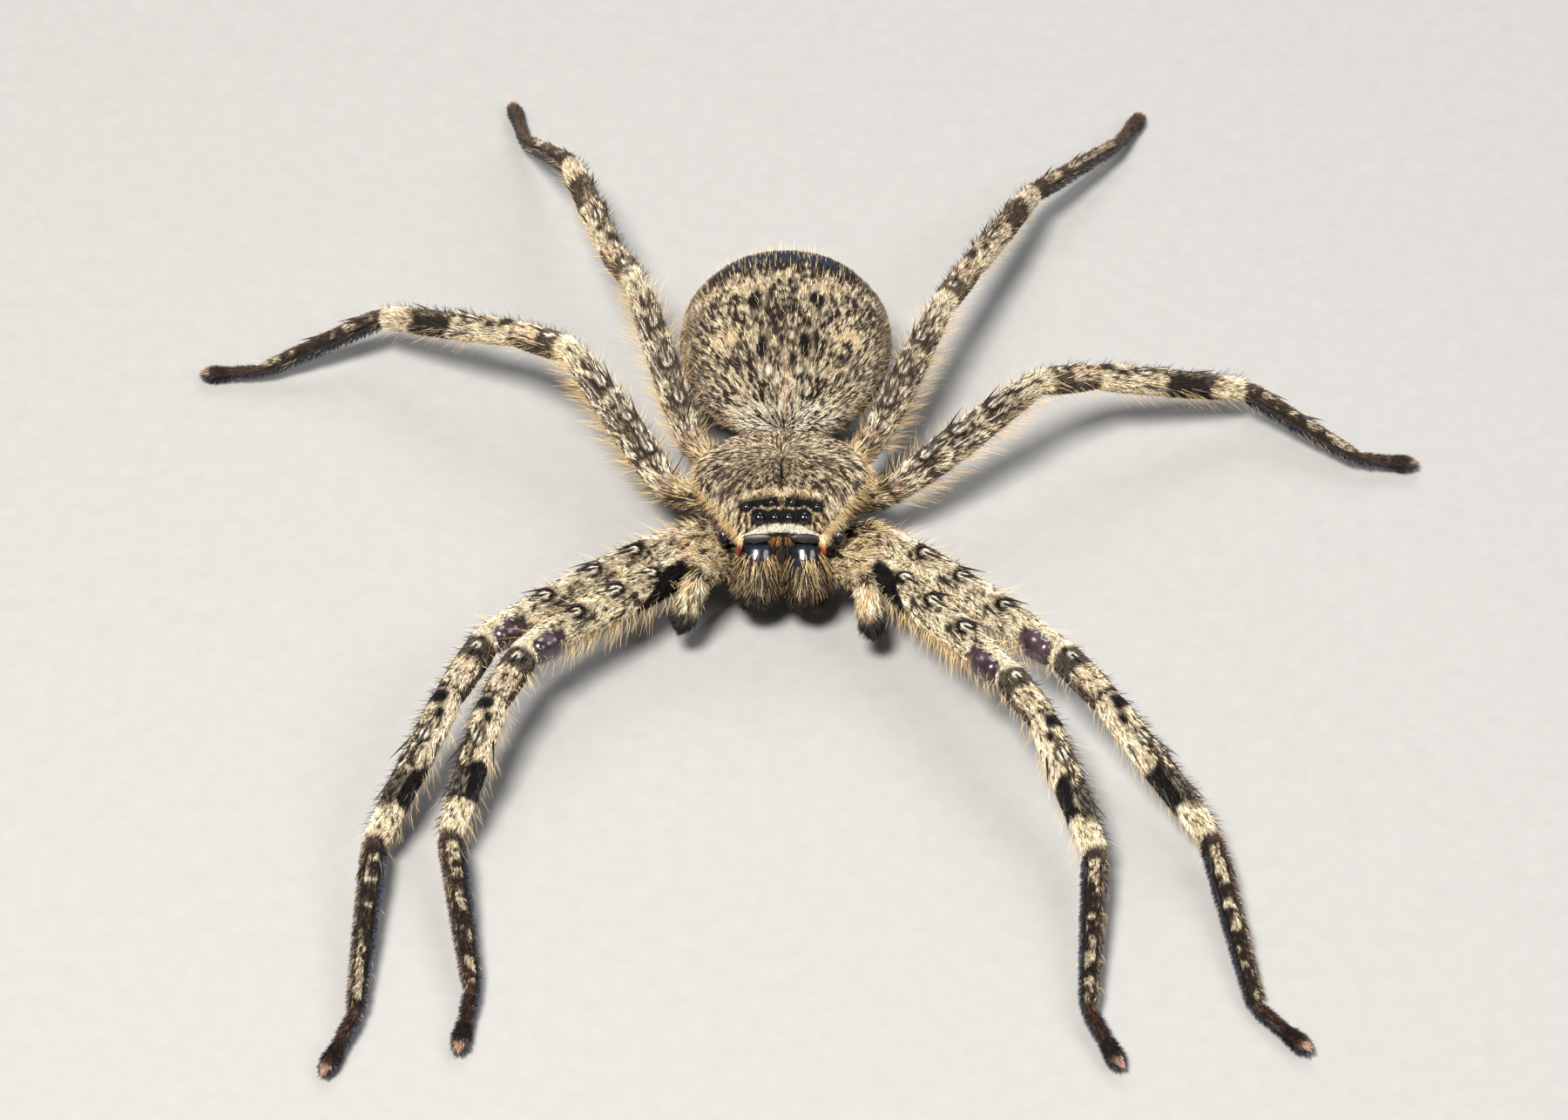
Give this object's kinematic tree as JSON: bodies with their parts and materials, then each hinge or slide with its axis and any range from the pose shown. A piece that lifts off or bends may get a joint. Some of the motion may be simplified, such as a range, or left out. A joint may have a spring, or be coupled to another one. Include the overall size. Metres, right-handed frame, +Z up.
{
  "type": "huntsman spider model",
  "caption": "Still, life-size huntsman spider at rest with spread sideways-turned legs, flat mottled body and spiny hairy legs, for display.",
  "frame": {"origin": "the middle of the footprint's bounding box on the floor under the spider", "axes": "+Y from the head towards the spinnerets, -Y is the way the head faces, +X to the animal's left, +Z up from the floor"},
  "size_m": [0.0728, 0.0788, 0.0095],
  "materials": {
    "carapace_hair": "short grey-brown and tan hair lying flat, dark flecks, dull",
    "abdomen_hair": "mottled cream, grey and dark brown short hair, dull",
    "leg_hair": "pale cream and grey hair with dark rings, spots and bands, dull",
    "foot_hair": "dark brown hair with cream blotches and a blue-grey sole brush, dull",
    "underside_hair": "tan and brown hair on the coxae and breastplate, dull",
    "jaw_bristle": "gold-brown and grey bristles over glossy black shell",
    "fang_horn": "dark red-brown polished horn",
    "eye_gloss": "wet black gloss",
    "bare_skin": "bare purplish-grey joint skin, satin to glossy",
    "spine_horn": "black tapering spines, satin"
  },
  "bodies": {
    "root": {"carapace": "carapace_hair", "sternum": "underside_hair", "abdomen": "abdomen_hair", "spinnerets": "abdomen_hair", "left_front_middle_eye": "eye_gloss", "left_front_side_eye": "eye_gloss", "left_rear_middle_eye": "eye_gloss", "left_rear_side_eye": "eye_gloss", "left_chelicera": "jaw_bristle", "left_fang": "fang_horn", "left_palp_upper": "leg_hair", "left_palp_lower": "leg_hair", "left_leg_1_coxa": "underside_hair", "left_leg_1_femur": "leg_hair", "left_leg_1_tibia": "leg_hair", "left_leg_1_metatarsus": "foot_hair", "left_leg_1_tarsus": "foot_hair", "left_leg_2_coxa": "underside_hair", "left_leg_2_femur": "leg_hair", "left_leg_2_tibia": "leg_hair", "left_leg_2_metatarsus": "foot_hair", "left_leg_2_tarsus": "foot_hair", "left_leg_3_coxa": "underside_hair", "left_leg_3_femur": "leg_hair", "left_leg_3_tibia": "leg_hair", "left_leg_3_metatarsus": "foot_hair", "left_leg_3_tarsus": "foot_hair", "left_leg_4_coxa": "underside_hair", "left_leg_4_femur": "leg_hair", "left_leg_4_tibia": "leg_hair", "left_leg_4_metatarsus": "foot_hair", "left_leg_4_tarsus": "foot_hair", "right_front_middle_eye": "eye_gloss", "right_front_side_eye": "eye_gloss", "right_rear_middle_eye": "eye_gloss", "right_rear_side_eye": "eye_gloss", "right_chelicera": "jaw_bristle", "right_fang": "fang_horn", "right_palp_upper": "leg_hair", "right_palp_lower": "leg_hair", "right_leg_1_coxa": "underside_hair", "right_leg_1_femur": "leg_hair", "right_leg_1_tibia": "leg_hair", "right_leg_1_metatarsus": "foot_hair", "right_leg_1_tarsus": "foot_hair", "right_leg_2_coxa": "underside_hair", "right_leg_2_femur": "leg_hair", "right_leg_2_tibia": "leg_hair", "right_leg_2_metatarsus": "foot_hair", "right_leg_2_tarsus": "foot_hair", "right_leg_3_coxa": "underside_hair", "right_leg_3_femur": "leg_hair", "right_leg_3_tibia": "leg_hair", "right_leg_3_metatarsus": "foot_hair", "right_leg_3_tarsus": "foot_hair", "right_leg_4_coxa": "underside_hair", "right_leg_4_femur": "leg_hair", "right_leg_4_tibia": "leg_hair", "right_leg_4_metatarsus": "foot_hair", "right_leg_4_tarsus": "foot_hair"}
  },
  "joints": []
}
